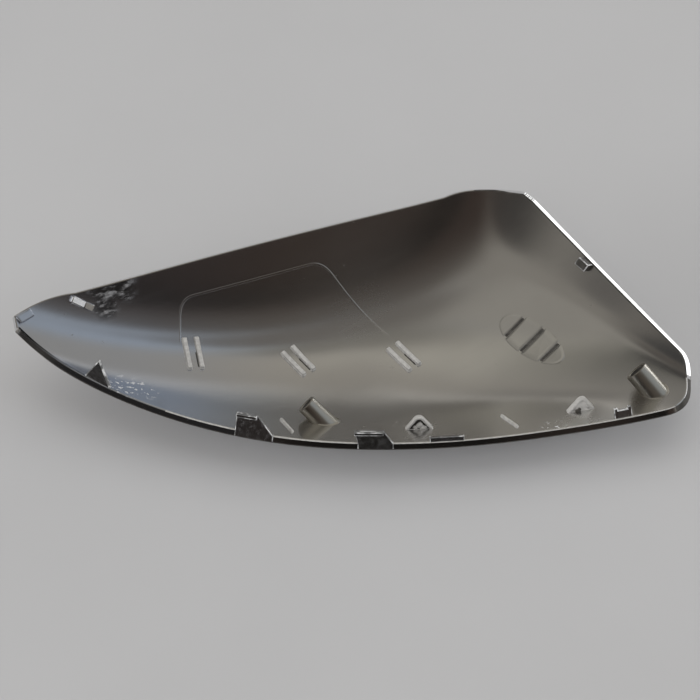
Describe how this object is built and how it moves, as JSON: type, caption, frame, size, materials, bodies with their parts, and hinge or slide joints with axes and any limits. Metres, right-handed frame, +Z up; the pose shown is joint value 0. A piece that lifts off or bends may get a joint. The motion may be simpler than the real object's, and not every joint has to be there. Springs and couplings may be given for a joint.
{
  "type": "wing mirror cover",
  "caption": "Chrome-plated shell cover for a car's wing mirror, a shallow tapered cap with clip tabs, ribs and screw bosses moulded on its inside.",
  "frame": {"origin": "centre of the bounding box in plan, at the level of the surface that the cover lies on", "axes": "+X along the cover's length toward its wide end, +Y toward the high roof edge, +Z up out of the open side, as it lies on its outer face"},
  "size_m": [0.24, 0.1062, 0.0381],
  "materials": {
    "chrome_plating": "bright chrome plating over moulded plastic, mirror smooth outside, slightly milky inside"
  },
  "bodies": {
    "root": {"mirror_cover": "chrome_plating"}
  },
  "joints": []
}
